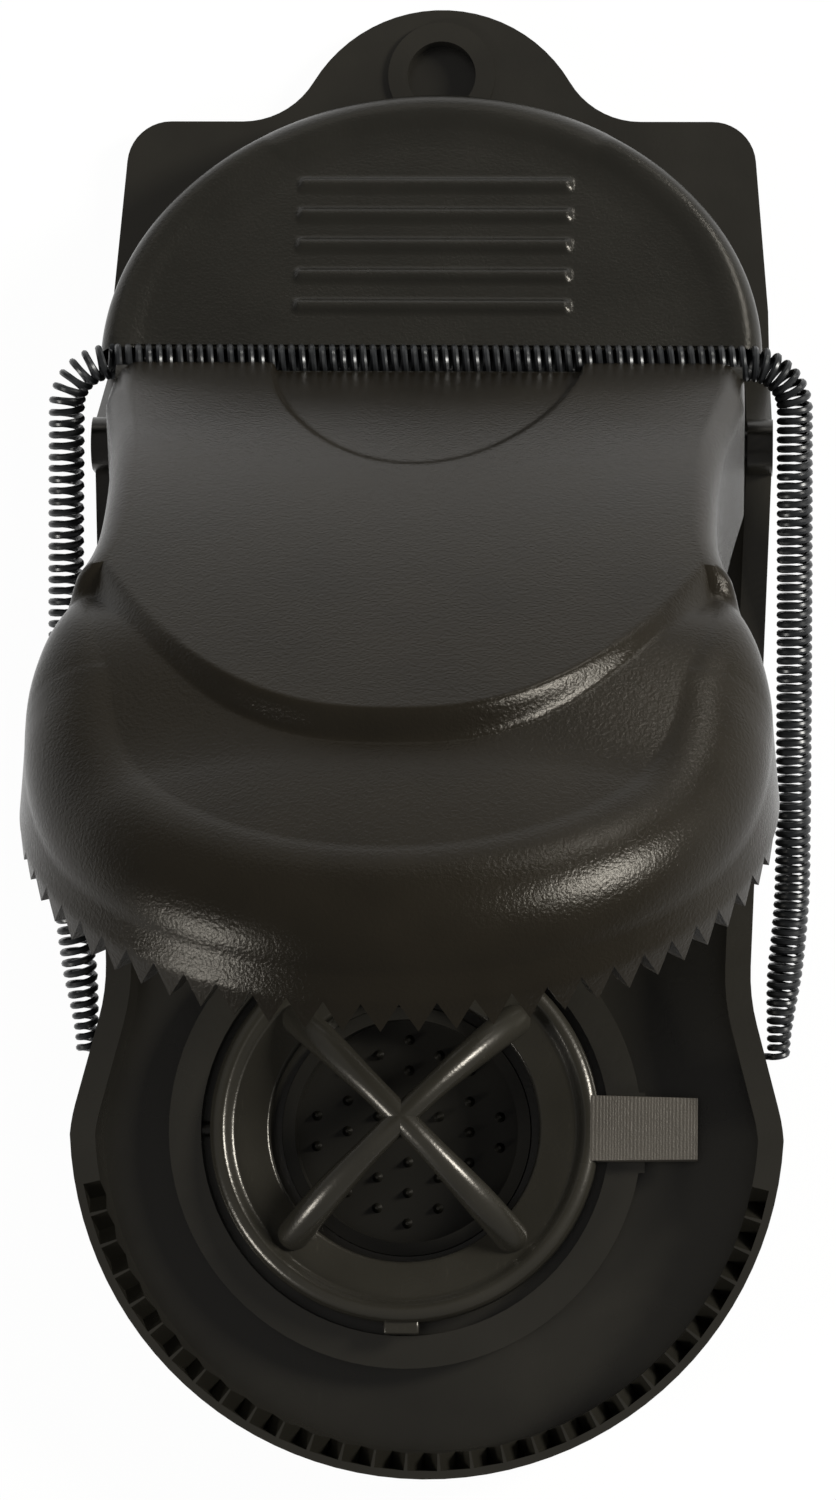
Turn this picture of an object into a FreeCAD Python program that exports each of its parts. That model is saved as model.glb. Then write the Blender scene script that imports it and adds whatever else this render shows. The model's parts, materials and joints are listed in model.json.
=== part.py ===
import FreeCAD, Part
import math
import os

# Snap mouse trap, drawn in its set pose with the jaw held open. Millimetres.
# +Z is up, +Y points to the rounded tab, and the mouth opens toward -Y.
# The origin is under the middle of the base.

Vec = FreeCAD.Vector
X_AXIS = Vec(1, 0, 0)
Z_AXIS = Vec(0, 0, 1)
HUGE = 200.0          # reach of a cutting block

# Base: plan
length = 106.4        # front of the bowl to the end of the tab
bowl_r = 25.3         # outside of the round front
waist_half = 22.8     # narrowest half width, behind the bowl
waist_up = 8.9        # waist, behind the bowl's centre
waist_blend = 14.0    # hollow of the waist
bulge_down = 0.6      # where the sides reach the bowl, before its centre
bulge_blend = 12.0
mid_half = 24.2       # half width at the hinge
plate_half = 23.9     # half width of the rear plate
plate_up = 11.0       # where it is measured, behind the hinge
rear_half = 22.7      # half width at the rear shoulders
shoulder_drop = 8.25  # end of the tab down to the shoulders
corner_r = 3.2        # rear corners
tab_r = 10.9          # rounded end of the tab
tab_fillet = 6.0      # between the tab and the shoulders
# Base: section
wall = 1.8
rim_z = 10.0
floor_z = 4.0         # top of the tray floor
floor_t = 1.6
plate_t = 2.2         # rear plate
tray_end = 26.5       # y where the tray steps down to the rear plate
wall_slope = 4.6      # run of the walls' sloping rear ends
# Blind recess in the tab, inside a low raised ring
recess_r = 2.5
recess_drop = 4.9     # its centre below the end of the tab
recess_floor = 0.6
boss_r = 3.9
boss_t = 0.4
# Teeth, alike on jaw and base: a full circle would hold teeth_round of them
teeth_round = 66
teeth_side = 14       # teeth on each side of the front one
tooth_h = 2.2
groove_h = 2.4
groove_half = 1.05    # half width of a groove at the rim
cut_past = 0.5     # cutting wedges run on this far past the edges
tooth_gap = 0.3       # teeth to the outer wall of their grooves
rim_show = 0.9        # rim left showing outside the shut jaw
# Hinge
hinge_y = 20.0
hinge_z = 11.0
open_angle = 55.0     # jaw's travel from set to shut
trunnion_r = 1.1
running_gap = 0.06    # radial, at every pin
side_gap = 0.2        # between jaw cheeks and base ears
ear_r = 1.9
lug_over = 0.5        # jaw's lugs over the ears
# Jaw, shut, measured forward from the hinge (a) and up from it (h)
jaw_wall = 1.35
jaw_clear = 0.3       # jaw's lower edge over the rim when shut
jaw_waist = 20.4
jaw_rear = 2.5        # behind the hinge
ridge_a = 56.5        # front of the upper tier on the centre line
ridge_side_a = 37.5   # where the ridge runs out at the sides
ridge_power = 2.4     # fullness of the curve between them
waist_a = 28.0        # where the upper tier is narrowest
crease_a = 2.4        # crease that carries the spring
crease_h = 7.6
crease_drop = 1.6     # rear edge below the crease
bar_rear = 1.6        # bar under the spring: behind the hinge,
bar_front = 3.4       # ahead of it,
bar_down = 3.4        # foot below the crease
bar_top = 0.2         # and top below it
upper_top = [         # (a, h) along the upper tier's top, crease to ridge
    (crease_a, crease_h), (15.0, 10.8), (24.0, 11.8), (36.0, 11.9), (46.0, 11.3), (ridge_a + 1, 10.0),
]
lower_start = 32.0    # the lower tier comes out of the upper one's sides here
lower_top = [         # (inset from the ring, h) of the lower tier, edge to middle
    (0.7, 4.2), (1.4, 5.6), (2.4, 6.4), (3.8, 6.9), (12.0, 8.1),
]
lower_mid_h = 9.0
# Lever, in the set pose
lever_gap = 1.0       # to each side span of the spring
lever_len = 21.8
lever_tilt = 22.9
lever_root = Vec(0, 26.3, 15.6)
lever_t = 1.5
lever_skirt = 2.6
lever_wall = 1.3
lever_lap = 0.8       # runs on into the jaw
rib_count = 5
rib_len = 20.0
rib_w = 0.9
rib_h = 0.45
rib_sink = 0.5
rib_first = 3.6
rib_pitch = 2.55
# Spring
coil_r = 1.3
coil_bore = 1.1
wire_r = 0.25
bend_r = 3.3
spring_top = Vec(0, 25.2, 16.0)
foot_up = 4.9         # spring's feet, behind the bowl's centre
foot_z = 1.8
coil_gap = 0.12       # coil to its groove in the jaw
slot_h = 6.0
relief_in = 0.35      # base to the spring's foot
relief_front = 2.2
relief_rear = 4.5
relief_up = 3.2
post_x = 19.2
post_w = 1.4
post_down = 1.4       # post's foot below the spring's foot
cap_t = 0.4
# Trigger
trig_x = -1.65
trig_before = 0.75    # centre before the bowl's
pivot_z = 5.3
set_tilt = 7.0        # front edge up when set
ring_out = 13.9
ring_over = 0.65      # ring's hole wider than the cup
ring_low = 6.0
ring_t = 1.2
bead_r = 0.75
bead_sink = 0.1
pin_r = 0.55
pin_reach = 2.2       # pins beyond the ring
pin_root = 1.6        # and inside it
pin_end_gap = 0.3
lug_w = 1.2           # lugs that carry the pins
nub_w = 2.5           # small lip left at the front of the ring
nub_out = 0.8
nub_t = 0.6
nub_up = 0.5
cage_r = 1.05         # half thickness of the cage bars
cage_span = 10.9
cage_low = 7.2
cage_top = 13.1
pad_w = 4.7
pad_end = 19.2
pad_t = 1.1
pad_up = 0.8          # pad's underside above the ring's
pad_show = 0.5        # platform showing each side of the pad
pad_shelf = 0.2       # and past the platform's own edge
arm_w = 2.4
arm_t = 1.3
arm_gap = 0.8         # each side, through the platform
arm_root = 1.2        # laps into the ring
arm_low = 0.7         # arm's underside above the floor
arm_rise = (4.0, 9.0) # from the ring to where the arm climbs and levels out
hook_t = 1.2
hook_h = 1.2
# Sear on the jaw
sear_r = 7.0
sear_angle = 28.0     # forward of straight down, set
sear_bar = 0.8
stem_w = 1.4
stem_gap = 0.7
sear_clear = 0.15     # hook to sear
window_side = 0.9     # sear's window in the floor, past the sear
window_front = 3.0
window_rear = 1.2
window_up = 0.9
# Platform
plat_gap = 0.7        # round the trigger
plat_w = 2.3
plat_root = 0.5       # sunk into the floor
plat_z = 6.4
# Bait cup
cup_r = 8.0
cup_wall = 0.9
cup_low = 0.6
cup_floor = 0.9
cup_high = 4.6
cup_flange = 1.3
cup_gap = 0.07
flange_gap = 0.1
spike_pitch = 2.2
spike_r = 0.45
spike_h = 0.7
spike_sink = 0.2
spike_edge = 0.4

# Worked out
front_y = -length / 2
rear_y = length / 2
bowl_y = front_y + bowl_r
recess_y = rear_y - recess_drop
shoulder_y = rear_y - shoulder_drop
tooth_step = 360.0 / teeth_round
ear_in = mid_half - wall
# the side walls close in before and behind the hinge
taper = max((mid_half - waist_half) / (hinge_y - bowl_y - waist_up), (mid_half - plate_half) / plate_up)
lug_r = ear_r + lug_over
cheek = ear_in - max(side_gap, lug_r * taper + running_gap)
ring_a = hinge_y - bowl_y
edge_h = rim_z + jaw_clear - hinge_z
trig_y = bowl_y - trig_before
spring_foot = Vec(0, bowl_y + foot_up, foot_z)
jaw_r = bowl_r - rim_show
spring_x = mid_half + coil_r + side_gap
lever_half = spring_x - coil_r - lever_gap
plat_in = ring_out + plat_gap
ring_in = cup_r + cup_wall + ring_over


def box(x0, x1, y0, y1, z0, z1):
    return Part.makeBox(x1 - x0, y1 - y0, z1 - z0, Vec(x0, y0, z0))


def rod(radius, start, direction, length):
    return Part.makeCylinder(radius, length, start, direction)


def fuse(first, *others):
    return first.fuse(list(others)).removeSplitter()


def cut(first, *others):
    return first.cut(list(others)).removeSplitter()


def rounded_face(corners):
    """Flat face from (x, y, radius) corners, each rounded by a tangent arc."""
    edges = []
    joints = []
    count = len(corners)
    for i in range(count):
        here = Vec(corners[i][0], corners[i][1], 0)
        back = Vec(*corners[i - 1][:2], 0) - here
        ahead = Vec(*corners[(i + 1) % count][:2], 0) - here
        back.normalize()
        ahead.normalize()
        radius = corners[i][2]
        half = back.getAngle(ahead) / 2
        reach = radius / math.tan(half)
        mid_way = back + ahead
        mid_way.normalize()
        middle = here + mid_way * (radius / math.sin(half) - radius)
        joints.append((here + back * reach, middle, here + ahead * reach, radius))
    for i in range(count):
        start, middle, end, radius = joints[i]
        if radius > 0:
            edges.append(Part.Arc(start, middle, end).toShape())
        after = joints[(i + 1) % count][0]
        if (after - end).Length > 1e-6:
            edges.append(Part.LineSegment(end, after).toShape())
    return Part.Face(Part.Wire(Part.__sortEdges__(edges)))


def side_profile(points, half):
    """Prism across X from (y, z) points."""
    loop = [Vec(-half, y, z) for y, z in points]
    return Part.Face(Part.makePolygon(loop + [loop[0]])).extrude(X_AXIS * 2 * half)


def base_plan():
    """Outline of the base as a face at z 0."""
    rise = tab_r + tab_fillet
    tab_y = rear_y - tab_r
    up = shoulder_y + tab_fillet - tab_y
    across = math.sqrt(rise ** 2 - up ** 2)
    touch = Vec(across, up, 0) * (tab_r / rise)
    slope = across / up
    apex_y = tab_y + touch.y + touch.x * slope
    root_x = touch.x + (tab_y + touch.y - shoulder_y) / slope
    right = [
        (bowl_r, front_y - 1, 0), (bowl_r, bowl_y - bulge_down, bulge_blend),
        (waist_half, bowl_y + waist_up, waist_blend), (mid_half, hinge_y, 0),
        (plate_half, hinge_y + plate_up, 0), (rear_half, shoulder_y, corner_r),
        (root_x, shoulder_y, tab_fillet),
    ]
    left = [(-x, y, r) for x, y, r in reversed(right)]
    plan = rounded_face(right + [(0, apex_y, tab_r)] + left)
    # the front is the round bowl
    disc = Part.Face(Part.Wire(Part.makeCircle(bowl_r, Vec(0, bowl_y, 0))))
    behind = Part.makePlane(2 * HUGE, HUGE, Vec(-HUGE, bowl_y, 0))
    return plan.common(behind.fuse(disc).removeSplitter()).Faces[0]


def wedge(angle, radius_in, radius_out, half, tip_z, root_z):
    """Triangular prism along a radius, half wide each way at root_z and sharp at tip_z."""
    loop = [Vec(-half, -radius_in, root_z), Vec(half, -radius_in, root_z), Vec(0, -radius_in, tip_z)]
    prism = Part.Face(Part.makePolygon(loop + [loop[0]])).extrude(Vec(0, radius_in - radius_out, 0))
    prism.rotate(Vec(0, 0, 0), Z_AXIS, angle)
    prism.translate(Vec(0, bowl_y, 0))
    return prism


def make_base():
    plan = base_plan()
    inside = plan.makeOffset2D(-wall)
    side = [
        (front_y - 1, 0), (rear_y + 1, 0), (rear_y + 1, plate_t), (tray_end, plate_t),
        (tray_end - wall_slope, rim_z), (front_y - 1, rim_z),
    ]
    body = plan.extrude(Z_AXIS * rim_z).common(side_profile(side, HUGE))
    tray = inside.extrude(Z_AXIS * rim_z)
    tray.translate(Vec(0, 0, floor_z))
    tray = tray.common(box(-HUGE, HUGE, -HUGE, tray_end, 0, HUGE))
    step = box(-HUGE, HUGE, tray_end - wall_slope, tray_end, floor_z, rim_z)
    step = step.common(inside.extrude(Z_AXIS * rim_z))
    under = inside.extrude(Z_AXIS * (floor_z - floor_t + 1))
    under.translate(Vec(0, 0, -1))
    under = under.common(box(-HUGE, HUGE, -HUGE, tray_end - wall, -1, HUGE))
    body = cut(body, tray, step, under)

    # rounded hinge ears on the side walls
    ears = []
    for s in (-1, 1):
        x = ear_in if s > 0 else -mid_half
        ears.append(rod(ear_r, Vec(x, hinge_y, hinge_z), X_AXIS, wall))
        ears.append(box(x, x + wall, hinge_y - ear_r, hinge_y + ear_r, rim_z - 1, hinge_z))
    # raised ring that the trigger rocks in, with a shelf under its pad
    plat_low = floor_z - plat_root
    plat_out = plat_in + plat_w
    ring = rod(plat_out, Vec(trig_x, trig_y, plat_low), Z_AXIS, plat_z - plat_low)
    half = pad_w / 2 + pad_show
    shelf = box(
        trig_x + plat_in, trig_x + plat_out + pad_shelf, trig_y - half, trig_y + half, plat_low, plat_z,
    )
    posts = []
    for s in (-1, 1):
        x = post_x if s > 0 else -post_x - post_w
        posts.append(
            box(x, x + post_w, spring_foot.y - 1, spring_foot.y + 1, spring_foot.z - post_down, plat_low)
        )
    boss = rod(boss_r, Vec(0, recess_y, 0), Z_AXIS, plate_t + boss_t)
    body = fuse(body, ring, shelf, boss, *ears, *posts)

    holes = [
        rod(plat_in, Vec(trig_x, trig_y, floor_z), Z_AXIS, plat_z),
        rod(cup_r + cup_wall + cup_gap, Vec(trig_x, trig_y, -1), Z_AXIS, rim_z),
        rod(recess_r, Vec(0, recess_y, recess_floor), Z_AXIS, rim_z),
        rod(trunnion_r + running_gap, Vec(-HUGE, hinge_y, hinge_z), X_AXIS, 2 * HUGE),
        rod(wire_r + running_gap, Vec(-HUGE, spring_foot.y, spring_foot.z), X_AXIS, HUGE - post_x + 0.5),
        rod(wire_r + running_gap, Vec(post_x - 0.5, spring_foot.y, spring_foot.z), X_AXIS, HUGE),
    ]
    # blind bearings for the trigger's pins
    reach = ring_out + pin_reach + pin_end_gap
    holes.append(rod(pin_r + running_gap, Vec(trig_x - reach, trig_y, pivot_z), X_AXIS, 2 * reach))
    # way through the raised ring for the trigger's arm, and the sear's window in the floor
    clear = arm_w / 2 + arm_gap
    holes.append(box(trig_x - clear, trig_x + clear, trig_y + ring_in, trig_y + HUGE, floor_z, plat_z + 1))
    sear_half = arm_w / 2 + stem_gap + stem_w + window_side
    reach = sear_r + sear_bar
    sear_front = hinge_y - reach * math.sin(math.radians(sear_angle)) - window_front
    sear_back = hinge_y + reach * math.sin(math.radians(open_angle - sear_angle)) + window_rear
    holes.append(box(
        trig_x - sear_half, trig_x + sear_half, sear_front, sear_back, -1, hinge_z - reach + window_up,
    ))
    # relief beside each spring's foot
    for s in (-1, 1):
        x = spring_x - coil_r - relief_in
        y = spring_foot.y
        x0, x1 = (x, HUGE) if s > 0 else (-HUGE, -x)
        holes.append(box(x0, x1, y - relief_front, y + relief_rear, -1, spring_foot.z + relief_up))
    # grooves for the jaw's teeth, open to the tray and closed outside
    half = groove_half * (groove_h + cut_past) / groove_h
    for k in range(-teeth_side, teeth_side + 1):
        holes.append(wedge(
            k * tooth_step, bowl_r - wall - cut_past, jaw_r + tooth_gap, half,
            rim_z - groove_h, rim_z + cut_past,
        ))
    return cut(body, *holes)


def jaw_place(shape):
    """From the shut pose, drawn where it works, to the set pose."""
    shape.rotate(Vec(0, hinge_y, hinge_z), X_AXIS, -open_angle)
    return shape


def at(a, h):
    """(y, z) of a point of the shut jaw."""
    return (hinge_y - a, hinge_z + h)


def ridge(x, inset):
    """Forward distance of the upper tier's front edge."""
    return ridge_a - inset - (ridge_a - ridge_side_a) * (abs(x) / jaw_waist) ** ridge_power


def jaw_solid(inset, low):
    """Outside of the jaw, or its hollow, drawn inset from it."""
    # upper tier: waisted sides, a curved front edge and a gently domed top
    half = jaw_waist - inset
    rear_a = -jaw_rear - (1 if inset else 0)
    steps = 8
    front = [Vec(half * (2 * i / steps - 1), 0, 0) for i in range(steps + 1)]
    front = [Vec(p.x, hinge_y - ridge(p.x, inset), 0) for p in front]
    curve = Part.BSplineCurve()
    curve.interpolate(front)
    rear_l = Vec(inset - cheek, hinge_y - rear_a, 0)
    rear_r = Vec(cheek - inset, hinge_y - rear_a, 0)
    waist_l = Vec(-half, hinge_y - waist_a, 0)
    waist_r = Vec(half, hinge_y - waist_a, 0)
    loop = [
        curve.toShape(),
        Part.LineSegment(front[-1], waist_r).toShape(),
        Part.LineSegment(waist_r, rear_r).toShape(),
        Part.LineSegment(rear_r, rear_l).toShape(),
        Part.LineSegment(rear_l, waist_l).toShape(),
        Part.LineSegment(waist_l, front[0]).toShape(),
    ]
    plan = Part.Face(Part.Wire(Part.__sortEdges__(loop)))
    plan.translate(Vec(0, 0, hinge_z + low))
    tier = plan.extrude(Z_AXIS * HUGE)
    rear_h = crease_h - crease_drop
    top = [(-jaw_rear - 1, rear_h), (crease_a - 0.6, rear_h)] + upper_top
    top = [at(a, h - inset) for a, h in top] + [at(ridge_a + 1, low - 1), at(-jaw_rear - 1, low - 1)]
    tier = tier.common(side_profile(top, HUGE))
    # lower tier: a shallow dome with a round shoulder, turned about the bowl's centre
    outer = jaw_r - inset
    edge = [Vec(0, 0, low), Vec(outer, 0, low), Vec(outer, 0, edge_h)]
    edge += [Vec(outer - back, 0, h - inset) for back, h in lower_top]
    edge.append(Vec(0, 0, lower_mid_h - inset))
    turned = Part.Face(Part.makePolygon(edge + [edge[0]])).revolve(Vec(0, 0, 0), Z_AXIS, 360)
    turned.translate(Vec(0, bowl_y, hinge_z))
    turned = turned.common(box(-HUGE, HUGE, -HUGE, hinge_y - lower_start, -HUGE, HUGE))
    return fuse(tier, turned)


def make_lever():
    """Thumb lever behind the hinge: a rimmed half ellipse with finger ribs."""
    def plate(half, reach, low, high):
        ellipse = Part.Ellipse(Vec(0, 0, 0), half, reach)
        face = Part.Face(Part.Wire(ellipse.toShape()))
        face.translate(Vec(0, 0, low))
        return face.extrude(Z_AXIS * (high - low))

    shell = plate(lever_half, lever_len, -lever_skirt, 0)
    hollow = plate(lever_half - lever_wall, lever_len - lever_wall, -lever_skirt - 1, -lever_t)
    shell = cut(shell, hollow).common(box(-HUGE, HUGE, -lever_lap, HUGE, -HUGE, HUGE))
    ribs = []
    for k in range(rib_count):
        v = rib_first + k * rib_pitch
        ribs.append(box(-rib_len / 2, rib_len / 2, v - rib_w / 2, v + rib_w / 2, -rib_sink, rib_h))
    lever = fuse(shell, *ribs)
    lever.rotate(Vec(0, 0, 0), X_AXIS, -lever_tilt)
    lever.translate(lever_root)
    return lever


def make_jaw():
    tip_h = edge_h - tooth_h
    outside = jaw_solid(0, tip_h)
    hollow = jaw_solid(jaw_wall, tip_h - 1)
    # behind the last teeth the lower edge stays above the rim
    last = ring_a + jaw_r * math.cos(math.radians((teeth_side + 0.5) * tooth_step)) + side_gap
    lift = side_profile([
        at(-jaw_rear - 2, tip_h - 5), at(last, tip_h - 5), at(last, edge_h),
        at(-jaw_rear - 2, edge_h),
    ], HUGE)
    half = jaw_r * math.radians(tooth_step) / 2
    notches = []
    for k in range(-teeth_side - 1, teeth_side + 1):
        notches.append(wedge(
            (k + 0.5) * tooth_step, jaw_r - jaw_wall - cut_past, jaw_r + cut_past,
            half * (tooth_h + cut_past) / tooth_h, hinge_z + edge_h, hinge_z + tip_h - cut_past,
        ))
    shell = cut(outside, hollow, lift, *notches)
    # cheeks round the trunnions
    pieces = []
    for s in (-1, 1):
        x = cheek - jaw_wall if s > 0 else -cheek
        pieces.append(rod(lug_r, Vec(x, hinge_y, hinge_z), X_AXIS, jaw_wall))
        x = cheek - 0.5 if s > 0 else -mid_half
        pieces.append(rod(trunnion_r, Vec(x, hinge_y, hinge_z), X_AXIS, mid_half - cheek + 0.5))
    # bar under the spring's groove
    y1, z0 = at(-bar_rear, crease_h - bar_down)
    y0, z1 = at(bar_front, crease_h - bar_top)
    pieces.append(box(-cheek, cheek, y0, y1, z0, z1))
    shell = jaw_place(fuse(shell, *pieces))

    # sear: a stirrup that the trigger's hook bears on, at the hinge
    dip = math.radians(sear_angle)
    bar = Vec(0, hinge_y - sear_r * math.sin(dip), hinge_z - sear_r * math.cos(dip))
    half = arm_w / 2 + stem_gap + stem_w
    sear = [rod(sear_bar, Vec(trig_x - half, bar.y, bar.z), X_AXIS, 2 * half)]
    for s in (-1, 1):
        x = trig_x + (half - stem_w if s > 0 else -half)
        stem = box(x, x + stem_w, hinge_y - 1, hinge_y + 1, hinge_z - sear_r, hinge_z + crease_h - 1.5)
        stem.rotate(Vec(0, hinge_y, hinge_z), X_AXIS, -sear_angle)
        sear.append(stem)
    jaw = fuse(shell, make_lever(), *sear)
    seat = coil_r + coil_gap
    groove = rod(seat, Vec(-HUGE, spring_top.y, spring_top.z), X_AXIS, 2 * HUGE)
    slot = box(-HUGE, HUGE, -seat, seat, 0, slot_h)
    out = math.degrees(math.atan2(spring_top.y - hinge_y, spring_top.z - hinge_z))
    slot.rotate(Vec(0, 0, 0), X_AXIS, -out)
    slot.translate(spring_top)
    return cut(jaw, groove, slot)


def make_trigger():
    """Pressure ring with its cross-shaped cage, side pad, pins and rear hook."""
    profile = [Vec(ring_in, 0, ring_low), Vec(ring_out - bead_r, 0, ring_low),
               Vec(ring_out - bead_r, 0, ring_low + ring_t), Vec(ring_in, 0, ring_low + ring_t)]
    ring = Part.Face(Part.makePolygon(profile + [profile[0]])).revolve(Vec(0, 0, 0), Z_AXIS, 360)
    bead = Part.makeTorus(ring_out - bead_r, bead_r, Vec(0, 0, ring_low + ring_t - bead_sink))
    collar = rod(ring_out, Vec(0, 0, ring_low), Z_AXIS, ring_t - bead_sink)
    collar = cut(collar, rod(ring_out - 1.4 * bead_r, Vec(0, 0, ring_low - 1), Z_AXIS, rim_z))
    pieces = [bead, collar]
    # cage bars: two round bars bent to one arc each, crossing at the top
    sag = cage_top - cage_r - cage_low
    arc_r = (cage_span ** 2 + sag ** 2) / (2 * sag)
    sweep = 2 * math.degrees(math.asin(cage_span / arc_r))
    for turn in (45, 135):
        disc = Part.Face(Part.Wire(Part.makeCircle(cage_r, Vec(cage_span, 0, cage_low), Vec(
            math.cos(math.radians(sweep / 2)), 0, -math.sin(math.radians(sweep / 2))))))
        bar = disc.revolve(Vec(0, 0, cage_low + sag - arc_r), Vec(0, -1, 0), sweep)
        ends = [Part.makeSphere(cage_r, Vec(s * cage_span, 0, cage_low)) for s in (-1, 1)]
        bar = bar.fuse(ends)
        bar.rotate(Vec(0, 0, 0), Z_AXIS, turn)
        pieces.append(bar)
    # pins and the lugs that carry them
    for s in (-1, 1):
        x = ring_out - pin_root if s > 0 else -ring_out - pin_reach
        pieces.append(rod(pin_r, Vec(x, 0, pivot_z), X_AXIS, pin_reach + pin_root))
        x = ring_out - pin_root if s > 0 else -ring_out + pin_root - lug_w
        pieces.append(box(x, x + lug_w, -pin_r, pin_r, pivot_z - pin_r, ring_low + ring_t / 2))
    pad_low = ring_low + pad_up
    pieces.append(box(
        ring_out - bead_r, pad_end - trig_x, -pad_w / 2, pad_w / 2, pad_low, pad_low + pad_t,
    ))
    nub_low = ring_low + nub_up
    pieces.append(box(
        -nub_w / 2, nub_w / 2, -ring_out - nub_out, -ring_out + bead_r, nub_low, nub_low + nub_t,
    ))
    trigger = fuse(ring, *pieces)
    trigger.translate(Vec(trig_x, trig_y, 0))
    trigger.rotate(Vec(0, trig_y, pivot_z), X_AXIS, -set_tilt)

    # arm to the hinge, drawn as it lies when set, with a hook behind the sear
    dip = math.radians(sear_angle)
    sear_y = hinge_y - sear_r * math.sin(dip)
    hook_y = sear_y + sear_bar + side_gap
    hook_z = hinge_z - math.sqrt((sear_r - sear_bar - sear_clear) ** 2 - (hinge_y - hook_y) ** 2)
    hook_top = hook_z + hook_h
    root_y = trig_y + ring_out - arm_root
    under = [(root_y, floor_z + arm_low), (root_y + arm_rise[0], floor_z + arm_low),
             (root_y + arm_rise[1], hook_top)]
    line = under + [
        (hook_y, hook_top), (hook_y, hook_z), (hook_y + hook_t, hook_z), (hook_y + hook_t, hook_top + arm_t),
    ] + [(y, z + arm_t) for y, z in reversed(under)]
    arm = side_profile(line, arm_w / 2)
    arm.translate(Vec(trig_x, 0, 0))
    return fuse(trigger, arm)


def make_cup():
    """Bait cup, pushed into the floor from below."""
    shell = rod(cup_r + cup_wall, Vec(0, 0, cup_low), Z_AXIS, cup_high - cup_low)
    flange_top = floor_z - floor_t - flange_gap
    flange = rod(cup_r + cup_wall + cup_flange, Vec(0, 0, cup_low), Z_AXIS, flange_top - cup_low)
    hollow = rod(cup_r, Vec(0, 0, cup_low + cup_floor), Z_AXIS, cup_high)
    cup = cut(fuse(shell, flange), hollow)
    # staggered spikes that hold the bait
    spikes = []
    reach = int(cup_r / spike_pitch)
    for i in range(-reach, reach + 1):
        for j in range(-reach - 1, reach + 2):
            x = i * spike_pitch
            y = (j + 0.5 * (i % 2)) * spike_pitch
            if math.hypot(x, y) < cup_r - spike_r - spike_edge:
                root = Vec(x, y, cup_low + cup_floor - spike_sink)
                spikes.append(Part.makeCone(spike_r, spike_r / 4, spike_h + spike_sink, root))
    cup = fuse(cup, *spikes)
    cup.translate(Vec(trig_x, trig_y, 0))
    return cup


def tube_section(centre, direction):
    outer = Part.Face(Part.Wire(Part.makeCircle(coil_r, centre, direction)))
    inner = Part.Face(Part.Wire(Part.makeCircle(coil_bore, centre, direction)))
    return outer.cut(inner)


def make_spring_over():
    half = spring_x - bend_r
    return tube_section(Vec(-half, spring_top.y, spring_top.z), X_AXIS).extrude(X_AXIS * 2 * half)


def make_spring_side(s):
    """Side span of the spring: a bend off the jaw, the long run and the hooked foot."""
    run = spring_foot - spring_top
    along = Vec(run).normalize()
    x0 = s * (spring_x - bend_r)
    start = Vec(x0, spring_top.y, spring_top.z)
    centre = start + along * bend_r
    axis = Vec(s, 0, 0).cross(along)
    bend = tube_section(start, X_AXIS).Faces[0].revolve(centre, axis, 90)
    corner = centre + Vec(s * bend_r, 0, 0)
    foot = Vec(s * spring_x, spring_foot.y, spring_foot.z)
    span = tube_section(corner, along).extrude(foot - corner)
    reach = spring_x - post_x
    x = post_x if s > 0 else -spring_x
    hook = rod(wire_r, Vec(x, spring_foot.y, spring_foot.z), X_AXIS, reach)
    cap = rod(coil_r, foot - along * cap_t, along, cap_t)
    return fuse(bend, span, cap, hook)


os.makedirs("parts", exist_ok=True)
nodes = {
    "base": make_base(),
    "jaw": make_jaw(),
    "trigger": make_trigger(),
    "bait_cup": make_cup(),
    "spring_over_jaw": make_spring_over(),
    "spring_left": make_spring_side(-1),
    "spring_right": make_spring_side(1),
}
for name, shape in nodes.items():
    bounds = shape.BoundBox
    low = [round(v, 2) for v in (bounds.XMin, bounds.YMin, bounds.ZMin)]
    high = [round(v, 2) for v in (bounds.XMax, bounds.YMax, bounds.ZMax)]
    print(name, len(shape.Solids), shape.isValid(), round(shape.Volume, 1), low, high)
    shape.exportStep("parts/" + name + ".step")
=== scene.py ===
import json
import math

import bmesh
import bpy
import numpy as np
from mathutils import Matrix, Vector


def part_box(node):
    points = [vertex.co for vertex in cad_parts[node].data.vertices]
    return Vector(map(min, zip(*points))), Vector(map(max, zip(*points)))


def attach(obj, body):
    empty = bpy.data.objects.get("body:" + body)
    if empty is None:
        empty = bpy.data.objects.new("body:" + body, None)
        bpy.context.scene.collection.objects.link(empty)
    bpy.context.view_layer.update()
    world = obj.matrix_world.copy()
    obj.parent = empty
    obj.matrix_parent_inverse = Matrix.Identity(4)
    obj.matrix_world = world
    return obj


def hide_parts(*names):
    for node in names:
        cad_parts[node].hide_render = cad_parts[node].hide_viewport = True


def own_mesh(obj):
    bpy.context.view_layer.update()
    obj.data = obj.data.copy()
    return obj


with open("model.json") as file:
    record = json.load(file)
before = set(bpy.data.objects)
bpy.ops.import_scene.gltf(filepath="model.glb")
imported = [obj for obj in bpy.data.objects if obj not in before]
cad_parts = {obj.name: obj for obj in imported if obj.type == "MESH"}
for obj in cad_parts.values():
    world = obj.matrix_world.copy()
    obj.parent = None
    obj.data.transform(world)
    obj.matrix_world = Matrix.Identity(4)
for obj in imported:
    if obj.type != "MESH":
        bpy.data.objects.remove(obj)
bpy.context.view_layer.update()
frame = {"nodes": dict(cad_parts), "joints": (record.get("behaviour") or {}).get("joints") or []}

# Snap mouse trap in its set pose. Shapes are worked out in millimetres and
# scaled to metres when their mesh is made.
MM = 0.001

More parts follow.
